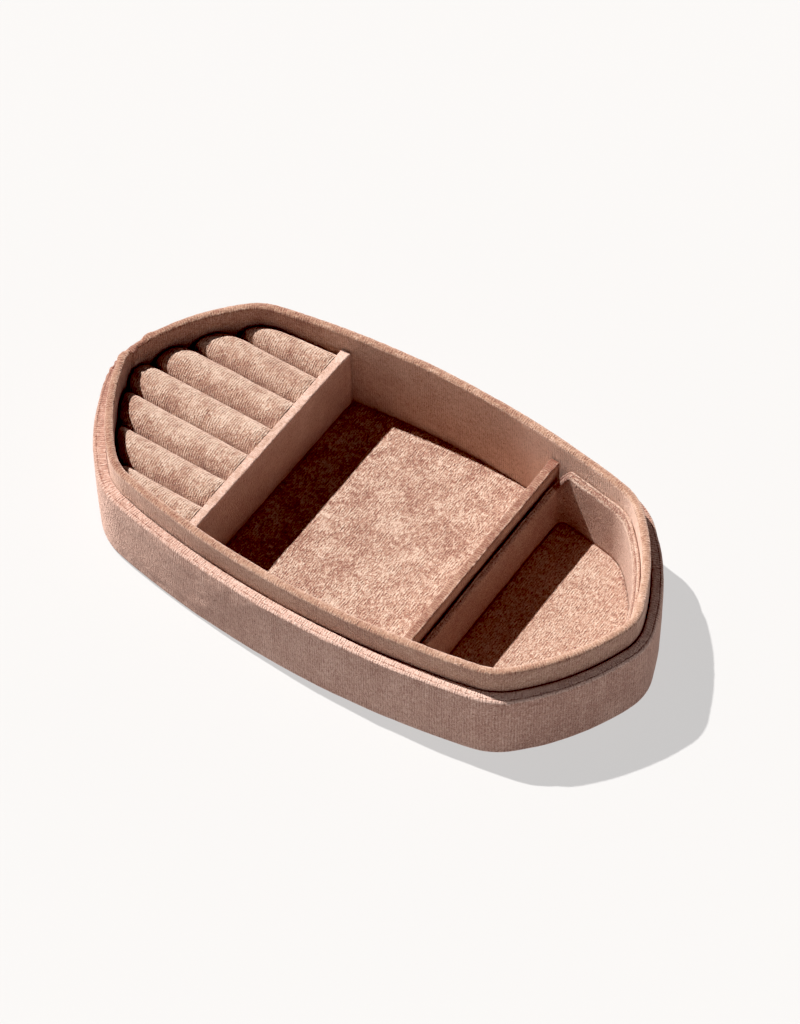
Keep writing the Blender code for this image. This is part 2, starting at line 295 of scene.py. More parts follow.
# ---------------------------------------------------------------------------
# Materials
# ---------------------------------------------------------------------------
class Graph:
    """A material and short ways to add its nodes."""

    def __init__(self, name):
        self.mat = bpy.data.materials.new(name)
        self.mat.use_nodes = True
        self.tree = self.mat.node_tree
        self.shader = self.tree.nodes["Principled BSDF"]

    def node(self, kind, **settings):
        made = self.tree.nodes.new(kind)
        for key, value in settings.items():
            setattr(made, key, value)
        return made

    def put(self, socket, value):
        if isinstance(value, bpy.types.NodeSocket):
            self.tree.links.new(value, socket)
        else:
            socket.default_value = value

    def math(self, op, a, b=0.0, clamp=False):
        made = self.node("ShaderNodeMath", operation=op, use_clamp=clamp)
        self.put(made.inputs[0], a)
        self.put(made.inputs[1], b)
        return made.outputs[0]

    def noise(self, vector, scale, detail=2.0, rough=0.5, distortion=0.0):
        made = self.node("ShaderNodeTexNoise")
        self.put(made.inputs["Vector"], vector)
        self.put(made.inputs["Scale"], scale)
        self.put(made.inputs["Detail"], detail)
        self.put(made.inputs["Roughness"], rough)
        self.put(made.inputs["Distortion"], distortion)
        return made.outputs["Fac"]

    def span(self, value, low, high, to_low=0.0, to_high=1.0):
        made = self.node("ShaderNodeMapRange")
        made.interpolation_type = "SMOOTHSTEP"
        names = ("Value", "From Min", "From Max", "To Min", "To Max")
        for socket, v in zip(names, (value, low, high, to_low, to_high)):
            self.put(made.inputs[socket], v)
        return made.outputs["Result"]

    def ramp(self, fac, stops):
        made = self.node("ShaderNodeValToRGB")
        while len(made.color_ramp.elements) < len(stops):
            made.color_ramp.elements.new(0.5)
        for e, (pos, colour) in zip(made.color_ramp.elements, stops):
            e.position, e.color = pos, (*colour, 1.0)
        self.put(made.inputs["Fac"], fac)
        return made.outputs["Color"]

    def set_input(self, name, constant):
        self.shader.inputs[name].default_value = constant

    def relief(self, height, strength, distance):
        """Joins a height to the shader's normal."""
        made = self.node("ShaderNodeBump")
        made.inputs["Strength"].default_value = strength
        made.inputs["Distance"].default_value = distance
        self.put(made.inputs["Height"], height)
        self.put(self.shader.inputs["Normal"], made.outputs["Normal"])


ROW = 0.084  # one row of pile, 0.84 mm, in the weave map's units of 10 mm
SPECULAR, SHEEN_ROUGHNESS, SHEEN_TINT = 0.1, 0.62, (1.0, 0.72, 0.61, 1.0)
PILE_DEPTH = 0.00022


def velvet(
    name, dark, mid, light, rows=0.25, dashes=0.55, dash_length=1.5, mottle=0.5, bump=1.0,
    sheen=0.85,
):
    """Short-pile velvet: rows of pile, tufts along them in dashes, and pile crushed in patches.

    A float attribute of each mesh lightens the tone above 0 and darkens it below 0: partly the
    lie of the pile, partly painted light and shade."""
    g = Graph(name)
    uv = g.node("ShaderNodeUVMap", uv_map="weave").outputs["UV"]
    split = g.node("ShaderNodeSeparateXYZ")
    g.put(split.inputs[0], uv)
    u, v = split.outputs[0], split.outputs[1]
    place = g.node("ShaderNodeTexCoord").outputs["Object"]
    # the mesh's tone attribute: the pile's lie, with painted light and shade
    nap_and_painted_light = g.node("ShaderNodeAttribute", attribute_name="nap_and_painted_light").outputs["Fac"]

    wander = g.math("MULTIPLY", g.noise(uv, 1.6, 2.0), 4.0)
    phase = g.math("ADD", g.math("MULTIPLY", u, 2 * math.pi / ROW), wander)
    ridge = g.math("ADD", g.math("MULTIPLY", g.math("SINE", phase), 0.5), 0.5)

    def tufts(across, along, detail):
        stretched = g.node("ShaderNodeCombineXYZ")
        g.put(stretched.inputs[0], g.math("MULTIPLY", phase, across / (2 * math.pi)))
        g.put(stretched.inputs[1], g.math("MULTIPLY", v, 100 / along / 10))
        return g.math("SUBTRACT", g.noise(stretched.outputs[0], 1.0, detail, 0.6), 0.5)

    long_tufts = tufts(1.5, dash_length, 1.0)
    short_tufts = tufts(2.6, dash_length * 0.35, 1.0)
    specks = g.math("SUBTRACT", g.noise(place, 3300.0, 1.0, 0.5), 0.5)
    crush = g.math("SUBTRACT", g.noise(place, 130.0, 3.0, 0.55, 0.5), 0.5)
    patches = g.math("SUBTRACT", g.noise(place, 430.0, 2.0, 0.6, 0.3), 0.5)

    tone = g.math("MULTIPLY", g.math("SUBTRACT", ridge, 0.5), rows)
    for part, weight in (
        (long_tufts, 2.2 * dashes),
        (short_tufts, 1.9 * dashes),
        (specks, 0.9 * dashes),
        (crush, 1.2 * mottle),
        (patches, 1.1 * mottle),
        (nap_and_painted_light, 1.0),
    ):
        tone = g.math("ADD", tone, g.math("MULTIPLY", part, weight))
    tone = g.math("ADD", tone, 0.5, clamp=True)
    g.put(g.shader.inputs["Base Color"], g.ramp(tone, [(0.0, dark), (0.5, mid), (1.0, light)]))
    g.put(g.shader.inputs["Roughness"], g.span(tone, 0.0, 1.0, 0.95, 0.78))
    g.set_input("Specular IOR Level", SPECULAR)
    g.set_input("Sheen Weight", sheen)
    g.set_input("Sheen Roughness", SHEEN_ROUGHNESS)
    g.set_input("Sheen Tint", SHEEN_TINT)

    height = g.math("MULTIPLY", ridge, 1.6 * rows)
    heights = ((long_tufts, 2.4), (short_tufts, 2.0), (specks, 1.0), (patches, 2.0 * mottle))
    for part, weight in heights:
        height = g.math("ADD", height, g.math("MULTIPLY", part, weight))
    g.relief(height, bump, PILE_DEPTH)
    return g.mat


def board_material(name, dark, light):
    """Grey board or card: short fibres and a few darker flecks."""
    g = Graph(name)
    place = g.node("ShaderNodeTexCoord").outputs["Object"]
    stretch = g.node("ShaderNodeMapping")
    stretch.inputs["Scale"].default_value = (1.0, 3.0, 1.0)
    g.put(stretch.inputs["Vector"], place)
    fibres = g.noise(stretch.outputs[0], 900.0, 4.0, 0.7)
    flecks = g.span(g.noise(place, 2400.0, 0.0), 0.62, 0.72, 0.0, 0.4)
    tone = g.math("SUBTRACT", fibres, flecks, clamp=True)
    g.put(g.shader.inputs["Base Color"], g.ramp(tone, [(0.25, dark), (0.75, light)]))
    g.put(g.shader.inputs["Roughness"], g.span(fibres, 0.2, 0.8, 0.95, 0.8))
    g.relief(fibres, 0.3, 0.0001)
    return g.mat


DARK, MID, LIGHT = (0.165, 0.050, 0.032), (0.385, 0.224, 0.160), (0.66, 0.51, 0.42)
PALE = (0.64, 0.45, 0.385)
PILE = velvet("velvet_pile", DARK, MID, LIGHT, dashes=0.95, mottle=1.0)
ROLL = velvet(
    "velvet_roll", DARK, (0.385, 0.221, 0.152), LIGHT, rows=0.40, dashes=0.62, dash_length=1.1,
    mottle=1.0,
)
TRAY_PILE = velvet("velvet_tray_floor", DARK, MID, LIGHT, dashes=0.80)
TRAY_SIDES = velvet(
    "velvet_tray_wall", DARK, MID, LIGHT, rows=0.06, dashes=0.90, dash_length=1.0
)
NECK = velvet(
    "velvet_neck", (0.17, 0.054, 0.030), (0.385, 0.222, 0.150), (0.62, 0.43, 0.345),
    rows=0.20, dashes=0.50, dash_length=1.6, mottle=0.40, bump=0.8,
)
WALL = velvet(
    "velvet_wall", DARK, (0.372, 0.208, 0.158), PALE, rows=0.26, dashes=0.55,
    dash_length=1.9, mottle=0.32, bump=0.9,
)
SMOOTH = velvet(
    "velvet_smooth", DARK, MID, PALE, rows=0.08, dashes=0.38, dash_length=1.2, mottle=0.35,
    bump=0.7,
)
FELT = velvet(
    "base_cloth", (0.12, 0.05, 0.04), (0.20, 0.09, 0.07), (0.30, 0.16, 0.13), rows=0.05,
    dashes=0.3, dash_length=1.0, mottle=0.3, bump=0.6, sheen=0.2,
)
GREY_BOARD = board_material("grey_board", (0.30, 0.24, 0.19), (0.55, 0.47, 0.39))
CARD = board_material("thin_card", (0.34, 0.27, 0.21), (0.60, 0.52, 0.43))
WRAP_PAPER = board_material("rose_paper", (0.36, 0.18, 0.14), (0.50, 0.28, 0.22))


def board_of(node_name):
    if node_name == "tray_floor_board":
        return WRAP_PAPER
    return CARD if node_name.endswith("_card") else GREY_BOARD


for node_name, node_object in NODES.items():
    node_object.data.materials.clear()
    node_object.data.materials.append(board_of(node_name))


def place(made, body, stands_for, slot="dusty_rose_velvet"):
    """Puts a piece on its body, instead of the CAD nodes that it stands for."""
    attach(made, body)
    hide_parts(*stands_for)
    return made


# ---------------------------------------------------------------------------
# Cloth wrapped over a wall that follows the plan
# ---------------------------------------------------------------------------
def wrapped_wall(name, loop, outer, inner, shape, mat, body, stands_for):
    """Cloth folded over a wall: outer and inner are (offset, z) paths of the cloth's two faces.

    loop holds points, normals and lengths. shape(s, x, y, offset, z) gives the changes to
    offset and z, and the tone: the pile's lie, with painted light and shade."""
    p, n, length = loop
    path = np.vstack([outer, inner[::-1]])
    across = lengths_along(path)
    rows, cols = len(path), len(p)
    offset = np.repeat(path[:, 0][:, None], cols, 1)
    z = np.repeat(path[:, 1][:, None], cols, 1)
    s = np.repeat(length[None, :-1], rows, 0)
    x = p[None, :, 0] + offset * n[None, :, 0]
    y = p[None, :, 1] + offset * n[None, :, 1]
    d_offset, d_z, nap_and_painted_light = shape(s, x, y, offset, z)
    offset, z = offset + d_offset, z + d_z
    x = p[None, :, 0] + offset * n[None, :, 0]
    y = p[None, :, 1] + offset * n[None, :, 1]
    points = np.stack([x, y, z], -1).reshape(-1, 3)
    total = length[-1]
    weave = np.stack([s, np.repeat(across[:, None], cols, 1)], -1).reshape(-1, 2)
    made = build(name, points, grid_faces(rows, cols, True, True), weave, mat, nap_and_painted_light=nap_and_painted_light)
    # the last column's faces close the loop, so their far corners carry the full length
    uv = made.data.uv_layers["weave"].data
    co = np.zeros(len(uv) * 2, np.float32)
    uv.foreach_get("uv", co)
    co = co.reshape(-1, 4, 2)
    along = co[:, :, 0]
    half_way = total * MM * WEAVE_UNIT / 2
    wraps = (along.max(1) - along.min(1)) > half_way
    at_start = along < half_way
    co[:, :, 0] = np.where(
        wraps[:, None] & at_start, along + total * MM * WEAVE_UNIT, along
    )
    uv.foreach_set("uv", co.ravel())
    return place(made, body, stands_for)


LEFT_TIP = -80.0


def at_left_point(x, y, middle, reach):
    """1 at the given y beside the box's left point, falling to 0 over reach."""
    return falloff(y - middle, reach) * (x < LEFT_TIP)


def lie_and_painted_light(x, y, to_right, to_near):
    """Pile wrapped outward over a rim, partly painted light: pale where it faces right and near,
    dark where it faces left and far, by these strengths.
    """
    away = np.hypot(x / HALF_LENGTH ** 2, y / HALF_WIDTH ** 2)
    return (to_right * x / HALF_LENGTH ** 2 - to_near * y / HALF_WIDTH ** 2) / away


# --- Shell: offsets are outward from the neck's outer face ---
SHELL_TOP, SHELL_OUT, SHELL_IN, CLOTH = top_of("outer_wall_velvet"), 4.2, 0.45, 0.5
HEM_IN, HEM_Z, SHELL_LOW_IN = -5.5, 0.45, 13.0
SEAM = SHELL_OUT - 1.1
shell_outer = np.vstack([
    resample([(HEM_IN, HEM_Z), (SHELL_OUT - 1.0, HEM_Z)], 2.5),
    arc_points(SHELL_OUT - 0.9, 1.35, 0.9, 0.9, -80, 0, 5),
    resample([(SHELL_OUT, 2.2), (SHELL_OUT, SHELL_TOP - 1.2)], 1.0),
    arc_points(SHELL_OUT - 0.95, SHELL_TOP - 0.95, 0.95, 0.95, 8, 80, 7),
    [(SEAM + 0.18, SHELL_TOP - 0.02), (SEAM + 0.07, SHELL_TOP - 0.12)],
    [(SEAM, SHELL_TOP - 0.24)],
    [(SEAM - 0.07, SHELL_TOP - 0.12), (SEAM - 0.18, SHELL_TOP)],
    resample([(SEAM - 0.4, SHELL_TOP), (SHELL_IN + 0.6, SHELL_TOP)], 0.4),
    arc_points(SHELL_IN + 0.5, SHELL_TOP - 0.5, 0.5, 0.5, 100, 180, 5),
    resample([(SHELL_IN, SHELL_TOP - 1.2), (SHELL_IN, SHELL_LOW_IN)], 2.5),
])
shell_inner = np.vstack([
    [(HEM_IN, HEM_Z + CLOTH), (SHELL_OUT - 1.4, HEM_Z + CLOTH), (SHELL_OUT - CLOTH, 1.5)],
    [(SHELL_OUT - CLOTH, 9.0), (SHELL_OUT - CLOTH, 18.0), (SHELL_OUT - CLOTH, SHELL_TOP - 1.6)],
    [(SHELL_OUT - 1.35, SHELL_TOP - CLOTH), (SHELL_IN + 1.2, SHELL_TOP - CLOTH)],
    [(SHELL_IN + CLOTH, SHELL_TOP - 1.1), (SHELL_IN + CLOTH, SHELL_LOW_IN)],
])


def shell_shape(s, x, y, offset, z):
    """The shell cloth's padding, uneven rim, and the lie of its pile with painted light and
    shade.
    """
    p = np.stack([x, y, z], -1)
    wall = smooth((offset - 2.8) / 1.0)
    high = smooth((z - 2.0) / 6.0) * smooth((SHELL_TOP + 1 - z) / 8.0)
    d = wall * high * 0.18 + wall * (0.10 * noise(p, 9.0, 3) + 0.05 * noise(p, 3.0, 4))
    # the rim of wrapped cloth is not quite even, and its seam wanders
    rim = smooth((z - SHELL_TOP + 3.0) / 2.5)
    d += rim * wall * (0.10 * noise(p, 5.0, 5) + 0.04 * noise(p, 1.2, 6))
    d += rim * (1 - wall) * 0.12 * noise(p, 4.0, 9) * smooth((offset - 1.2) / 1.0)
    dz = rim * (0.10 * noise(p, 7.0, 7) + 0.04 * noise(p, 1.3, 8))
    # at the right end the rim slopes down outward
    right_end = smooth((x - 62.0) / 18.0) * smooth((z - 9.0) / 12.0)
    dz -= 0.36 * np.clip(offset - 1.2, 0.0, 3.0) * right_end
    # wrinkles where the cloth ends meet at the left point
    d += at_left_point(x, y, 0.0, 7.0) * rim * wall * 0.28 * np.sin(y * 1.9 + z * 0.5)
    d += at_left_point(x, y, 3.0, 1.2) * wall * high * 0.5
    d -= at_left_point(x, y, 1.2, 0.5) * wall * 0.3
    top = smooth((z - SHELL_TOP + 0.9) / 0.6)
    face = wall * (1 - top)
    # darker dots along the seam: painted shade in its groove
    seam_groove_shade = falloff(offset - SEAM, 0.16) * top * smooth((noise(p, 0.9, 10) + 0.3) / 0.5)
    # the rim's top is pale facing right and near and dark facing left: partly the pile's lie,
    # partly painted light
    nap_and_painted_light = top * lie_and_painted_light(x, y, 0.45, 0.34) - 0.6 * seam_groove_shade + 0.10 * noise(p, 14.0, 16) * (1 - top)
    # at the left end the inner edge presses on the neck, and a thin pale line runs along its top
    pressed = smooth((-x - 56.0) / 12.0) * smooth((z - 9.0) / 4.0) * smooth((1.5 - offset) / 0.8)
    d -= 0.38 * pressed
    nap_and_painted_light += 0.55 * pressed * top * falloff(offset - 0.5, 0.22) * smooth(noise(p, 1.5, 19) + 0.7)
    # painted shade on the outer face: darker at the left end, a little darker along the left
    # half, and darker at the right end
    nap_and_painted_light -= 0.36 * face * smooth((-x - 60.0) / 20.0)
    nap_and_painted_light -= face * (0.10 * smooth((-x - 5.0) / 25.0) + 0.14 * smooth((x - 70.0) / 20.0))
    # fine irregular ribs down the outside
    nap_and_painted_light += face * 0.09 * noise(np.stack([s, 0 * s, z * 0.12], -1), 1.1, 20)
    nap_and_painted_light += face * 0.06 * noise(np.stack([s, 0 * s, z * 0.10], -1), 2.6, 22)
    return d, dz, nap_and_painted_light


LOOP = outline(0.75)
shell_cover = wrapped_wall(
    "shell_cover", LOOP, shell_outer, shell_inner, shell_shape, WALL, "box",
    ["outer_wall_velvet"],
)

# --- Neck: THIN is the thickness of its cloth ---
NECK_TOP, NECK_LOW, NECK_WALL, THIN = top_of("neck_velvet"), low_of("neck_velvet"), 2.9, 0.42
mid_neck, round_neck = NECK_WALL / 2, 1.25
neck_outer = np.vstack([
    resample([(0.0, NECK_LOW), (0.0, 26.0)], 8.0),
    resample([(0.0, 27.0), (0.0, NECK_TOP - round_neck)], 0.8),
    arc_points(-mid_neck, NECK_TOP - round_neck, mid_neck, round_neck, 8, 172, 15),
    resample([(-NECK_WALL, NECK_TOP - round_neck), (-NECK_WALL, NECK_LOW)], 1.2),
])
neck_inner = np.array([
    (-THIN, NECK_LOW), (-THIN, 14.0), (-THIN, 26.0), (-THIN, NECK_TOP - round_neck - 0.1),
    (-mid_neck, NECK_TOP - 0.55),
    (THIN - NECK_WALL, NECK_TOP - round_neck - 0.1), (THIN - NECK_WALL, 20.0),
    (THIN - NECK_WALL, NECK_LOW),
])


def neck_shape(s, x, y, offset, z):
    """The neck cloth's soft rim, its joint at the left point, and the lie of its pile with
    painted light and shade.
    """
    p = np.stack([x, y, z], -1)
    free = smooth((z - 26.0) / 6.0)
    rim = smooth((z - NECK_TOP + 2.2) / 1.8)
    inner = smooth((-1.6 - offset) / 0.8)
    outer = 1 - inner
    d = 0.05 * noise(p, 8.0, 11) + free * 0.10 * noise(p, 12.0, 12)
    d += rim * 0.07 * noise(p, 1.1, 13)
    dz = rim * (0.12 * noise(p, 10.0, 14) + 0.08 * noise(p, 1.1, 15))
    # the cloth's ends meet at the left point: flat between two low bumps, sunk a little on top
    flat = smooth((y + 1.5) / 2.0) * smooth((8.5 - y) / 2.5) * (x < LEFT_TIP)
    bumps = 0.45 * at_left_point(x, y, -3.0, 1.6) + 0.40 * at_left_point(x, y, 9.5, 1.8)
    d += free * outer * (bumps - 0.40 * flat)
    bumps = 0.15 * at_left_point(x, y, -3.0, 2.0) + 0.2 * at_left_point(x, y, 9.5, 2.2)
    dz += rim * (bumps - 0.45 * flat)
    # inside, the last 3 mm of cloth lap over the other end
    lap = smooth((y - 0.2) / 0.35) * smooth((3.4 - y) / 0.5) * (x < LEFT_TIP)
    d -= inner * free * (0.55 * lap - 0.25 * at_left_point(x, y, -0.2, 0.4))
    d += at_left_point(x, y, 3.0, 6.0) * free * 0.10 * np.sin(y * 2.1 + z * 0.9)
    top = smooth((z - NECK_TOP + 1.3) / 0.9)
    # the rim's top: darker overall, pale facing right and dark facing left, partly the pile's
    # lie, partly painted light
    nap_and_painted_light = top * (lie_and_painted_light(x, y, 0.16, 0.03) - 0.13) + 0.12 * noise(p, 16.0, 17)
    # painted light: the far inner wall is lighter, more so towards the right where the key light
    # grazes it; painted shade darkens the near outer band
    far = (y > 0) * inner * (1 - top)
    nap_and_painted_light += far * (0.16 + 0.26 * smooth((x - 5.0) / 35.0)) - 0.14 * outer * (1 - top) * (y < 0)
    # painted shade: the inner wall is darker at the left end
    nap_and_painted_light -= inner * (1 - top) * 0.42 * smooth((-x - 44.0) / 10.0)
    nap_and_painted_light -= 0.4 * top * at_left_point(x, y, 3.0, 3.0)
    # a pale line along the rim's inner top edge: a painted highlight
    edge = falloff(offset + 2.35, 0.3) * top
    nap_and_painted_light += 0.35 * edge * smooth(noise(p, 1.4, 18) + 0.4)
    nap_and_painted_light -= free * 0.35 * inner * lap * smooth((z - 30.0) / 6.0)
    return d, dz, nap_and_painted_light


neck_cover = wrapped_wall(
    "neck_cover", LOOP, neck_outer, neck_inner, neck_shape, NECK, "box", ["neck_velvet"]
)


# --- Dividers ---
def divider(side, seed, top_lie_and_light, edge_highlight, mat):
    """A divider's wrapped cloth. The top's tone is partly painted light, and the pale line along
    its top edge is a painted highlight of the given strength.
    """
    low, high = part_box(f"{side}_divider_velvet")
    x_mid, half = (low.x + high.x) / 2 / MM, (high.x - low.x) / 2 / MM
    y_end, z_low, z_top = high.y / MM, low.z / MM, high.z / MM + 0.3
    r, left_r = 0.6, (0.22 if side == "left" else 0.6)
    outer = np.vstack([
        resample([(half, z_low), (half, z_top - r)], 1.2),
        arc_points(half - r, z_top - r, r, r, 12, 90, 6),
        resample([(half - r, z_top), (left_r - half, z_top)], 0.35)[1:-1],
        arc_points(left_r - half, z_top - left_r, left_r, left_r, 90, 168, 6),
        resample([(-half, z_top - left_r), (-half, z_low)], 1.2),
    ])
    inner = np.array([
        (half - THIN, z_low), (half - THIN, z_top - r - 0.1), (0.0, z_top - 0.5),
        (-half + THIN, z_top - r - 0.1), (-half + THIN, z_low),
    ])
    path = np.vstack([outer, inner[::-1]])
    ys = np.linspace(-y_end, y_end, 121)
    across = lengths_along(path)
    x = np.repeat(path[:, 0][None, :], len(ys), 0)
    z = np.repeat(path[:, 1][None, :], len(ys), 0)
    y = np.repeat(ys[:, None], len(path), 1)
    p = np.stack([x + x_mid, y, z], -1)
    rim = smooth((z - z_top + 2.0) / 1.6)
    swell = 0.07 * noise(p, 9.0, seed) + rim * 0.06 * noise(p, 1.1, seed + 1)
    # a narrow turned end of cloth beside the far wall
    turned = smooth((y - y_end + 3.4) / 0.5)
    x = x + np.sign(x) * (swell + 0.22 * turned)
    z = z + rim * (0.10 * noise(p, 12.0, seed + 2) + 0.09 * noise(p, 1.0, seed + 3))
    points = np.stack([x + x_mid, y, z], -1).reshape(-1, 3)
    weave = np.stack([y, np.repeat(across[None, :], len(ys), 0)], -1).reshape(-1, 2)
    cols = len(path)
    faces = grid_faces(len(ys), cols, False, True)[:, ::-1]
    # strips of faces close each end, from the outer face to the inner one
    strips = []
    share = np.linspace(0, len(inner) - 1, len(outer))
    for first, flip in ((0, False), (len(points) - cols, True)):
        last = first + cols - 1
        for k in range(len(outer) - 1):
            a, b = int(round(share[k])), int(round(share[k + 1]))
            face = [first + k, first + k + 1, last - b] + ([last - a] if a != b else [])
            strips.append(face if flip else face[::-1])
    # painted light on the top, stronger towards the far end, partly the pile's lie, and a pale
    # painted highlight along its top edge
    ridge = smooth((p[..., 2] - z_top + 1.0) / 0.7)
    line = falloff(p[..., 0] - x_mid - 0.78 * half, 0.22) * smooth(noise(p, 1.6, seed + 4) + 0.45)
    toward_far_end = smooth((y - y_end + 6.0) / 3.0)
    nap_and_painted_light = ridge * (top_lie_and_light * (1 + toward_far_end) + edge_highlight * line + 0.22 * noise(p, 0.8, seed + 6))
    nap_and_painted_light += 0.10 * noise(p, 18.0, seed + 5)
    made = build(f"{side}_divider_cover", points, faces, weave, mat, ngons=strips, nap_and_painted_light=nap_and_painted_light)
    place(made, "box", [f"{side}_divider_velvet"])


# the left divider's top is painted lighter and the right one's darker, with a pale edge highlight
# on the right one
divider("left", 21, 0.25, 0.0, SMOOTH)
divider("right", 31, -0.34, 1.1, NECK)


# --- Floors ---
def cloth_floor(
    name, edge, z_top, x_low, x_high, seed, body, stands_for, pile, nap_and_painted_light=0.0,
    thickness=0.5,
):
    """A glued cloth floor: edge(x) is its half width, and its rim rolls down into the corner."""
    xs = np.linspace(x_low, x_high, int((x_high - x_low) / 0.9))
    # points lie closer towards both sides
    crowding = 0.97
    ts = np.sin(np.linspace(-math.pi / 2, math.pi / 2, 101) * crowding)
    ts = ts / math.sin(math.pi / 2 * crowding)
    x = np.repeat(xs[:, None], len(ts), 1)
    width = np.repeat(edge(xs)[:, None], len(ts), 1)
    y = width * ts[None, :]
    near = np.minimum(np.minimum(x - x_low, x_high - x), width - np.abs(y))
    z = z_top - 0.35 * (1 - smooth(near / 1.4))
    p = np.stack([x, y, z], -1)
    z = z + 0.10 * noise(p, 14.0, seed) + 0.05 * noise(p, 4.0, seed + 1)
    z = z + 0.035 * noise(p, 1.8, seed + 2)
    top = np.stack([x, y, z], -1).reshape(-1, 3)
    rows, cols = x.shape
    under = top - (0, 0, thickness)
    faces = grid_faces(rows, cols)
    n = rows * cols
    rim = [*range(cols), *(r * cols + cols - 1 for r in range(1, rows))]
    rim += [(rows - 1) * cols + k for k in reversed(range(cols - 1))]
    rim += [r * cols for r in reversed(range(1, rows - 1))]
    sides = [(a, b, b + n, a + n) for a, b in zip(rim, rim[1:] + rim[:1])]
    faces = np.vstack([faces[:, ::-1], faces + n, np.array(sides)])
    weave = np.vstack([top[:, :2], top[:, :2]])
    made = build(name, np.vstack([top, under]), faces, weave, pile, nap_and_painted_light=np.full(2 * n, nap_and_painted_light))
    place(made, body, stands_for)


FLOOR_GAP = 0.15
floor_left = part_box("left_divider_velvet")[1].x / MM + FLOOR_GAP
floor_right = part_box("right_divider_velvet")[0].x / MM - FLOOR_GAP
cloth_floor(
    "floor_cover", lambda x: half_width(-NECK_WALL - FLOOR_GAP, x), top_of("floor_velvet"),
    floor_left, floor_right, 41, "box", ["floor_velvet"], PILE,
)


# --- Ring rolls ---
ROLLS, RISE, SQUARENESS, WALL_GAP = 7, 6.2, 0.88, 0.7
SIDE_POINTS, ARC_POINTS, ROLL_SPANS = 9, 31, 56
# how much narrower, and how far in from the tip, each section of a roll's rounded left end is
ROUNDED_END = [(2.4, 0.0), (1.55, 0.12), (0.95, 0.45), (0.5, 0.95), (0.2, 1.6), (0.0, 2.5)]
left_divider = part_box("left_divider_velvet")[0].x / MM


def ring_roll(number):
    """One padded roll, rounded beside the neck and tucked down beside the left divider."""
    nodes = [f"ring_roll_velvet_{number}", f"ring_roll_foam_{number}"]
    low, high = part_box(nodes[0])
    y_low, y_high, z_low, crest = low.y / MM, high.y / MM, low.z / MM, high.z / MM
    x_right = left_divider - 0.05
    mid, half = (y_low + y_high) / 2, (y_high - y_low) / 2
    centre_z = crest - RISE
    # the section: up one side, over the top and down the other
    a = np.linspace(0, math.pi, ARC_POINTS)
    prof_y = np.concatenate([
        np.full(SIDE_POINTS, 1.0),
        np.sign(np.cos(a)) * np.abs(np.cos(a)) ** SQUARENESS,
        np.full(SIDE_POINTS, -1.0),
    ])
    prof_z = np.concatenate([
        np.linspace(z_low, centre_z - 0.8, SIDE_POINTS),
        centre_z + RISE * np.sin(a) ** 0.94,
        np.linspace(centre_z - 0.8, z_low, SIDE_POINTS),
    ])
    prof_t = np.concatenate([np.zeros(SIDE_POINTS), np.sin(a), np.zeros(SIDE_POINTS)])

    def left_end(inset, y):
        return np.minimum(-half_length(-NECK_WALL - WALL_GAP - inset, y), x_right - 5.0 + inset)

    rows = []
    for shrink, inset in ROUNDED_END:
        yy = mid + prof_y * (half - shrink)
        zz = np.where(prof_z > z_low + 1, prof_z - shrink * (0.25 + 0.75 * prof_t), prof_z)
        rows.append(np.column_stack([left_end(inset, yy), yy, zz]))
    first = rows[-1]
    for k in range(1, ROLL_SPANS + 1):
        t = k / ROLL_SPANS
        xx = first[:, 0] * (1 - t) + x_right * t
        tuck = 0.75 * smooth((xx - x_right + 2.2) / 2.2) * np.clip(first[:, 2] - 29.9, 0.0, None)
        rows.append(np.column_stack([xx, first[:, 1], first[:, 2] - tuck]))
    pts = np.array(rows)
    p = pts.reshape(-1, 3)
    seed = 50 + number * 3
    up_part = np.clip((p[:, 2] - z_low - 8.0) / 12.0, 0, 1)
    swell = up_part * (
        0.16 * noise(p, 10.0, seed) + 0.08 * noise(p, 3.5, seed + 1)
        + 0.045 * noise(p, 1.3, seed + 2)
    )
    out_y, out_z = (p[:, 1] - mid) / half, np.clip((p[:, 2] - centre_z) / RISE, 0, 1)
    norm = np.sqrt(out_y ** 2 + out_z ** 2) + 1e-6
    p = p + np.column_stack([np.zeros(len(p)), out_y / norm * swell * 0.5, out_z / norm * swell])
    n_rows, cols = pts.shape[:2]
    across = np.concatenate([[0.0], np.cumsum(np.hypot(np.diff(prof_y) * half, np.diff(prof_z)))])
    weave = np.stack([p[:, 0], np.tile(across, n_rows)], -1)
    faces = grid_faces(n_rows, cols)
    under = [r * cols for r in range(n_rows)]
    under += [r * cols + cols - 1 for r in reversed(range(n_rows))]
    caps = []
    for start, flip in ((0, True), ((n_rows - 1) * cols, False)):
        for k in range(cols // 2):
            ids = [start + k, start + k + 1, start + cols - 2 - k, start + cols - 1 - k]
            if ids[1] == ids[2]:
                ids = [ids[0], ids[1], ids[3]]
            if len(set(ids)) > 2:
                caps.append(ids[::-1] if flip else ids)
    # painted light and shade, partly the pile's lie: crest and far flank lighter, near flank
    # darker
    nap_and_painted_light = 0.20 * out_y + 0.12 * out_z + 0.03 + 0.06 * noise(p, 9.0, seed)
    made = build(f"ring_roll_{number}", p, faces, weave, ROLL, ngons=caps + [under], nap_and_painted_light=nap_and_painted_light)
    place(made, "box", nodes)


for roll_number in range(1, ROLLS + 1):
    ring_roll(roll_number)

# --- Tray: offsets are outward from its own outer face ---
TRAY_LEFT, TRAY_CLEAR, TRAY_WALL, TRAY_R = 42.1, 0.4, 2.3, 5.5
TRAY_CENTRE_X = TRAY_LEFT + TRAY_R
TRAY_TOP, TRAY_LOW_TOP = top_of("tray_wall_velvet"), 24.0
TRAY_Z = low_of("tray_wall_velvet")
TRAY_INSIDE = -NECK_WALL - TRAY_CLEAR - TRAY_WALL - 0.1


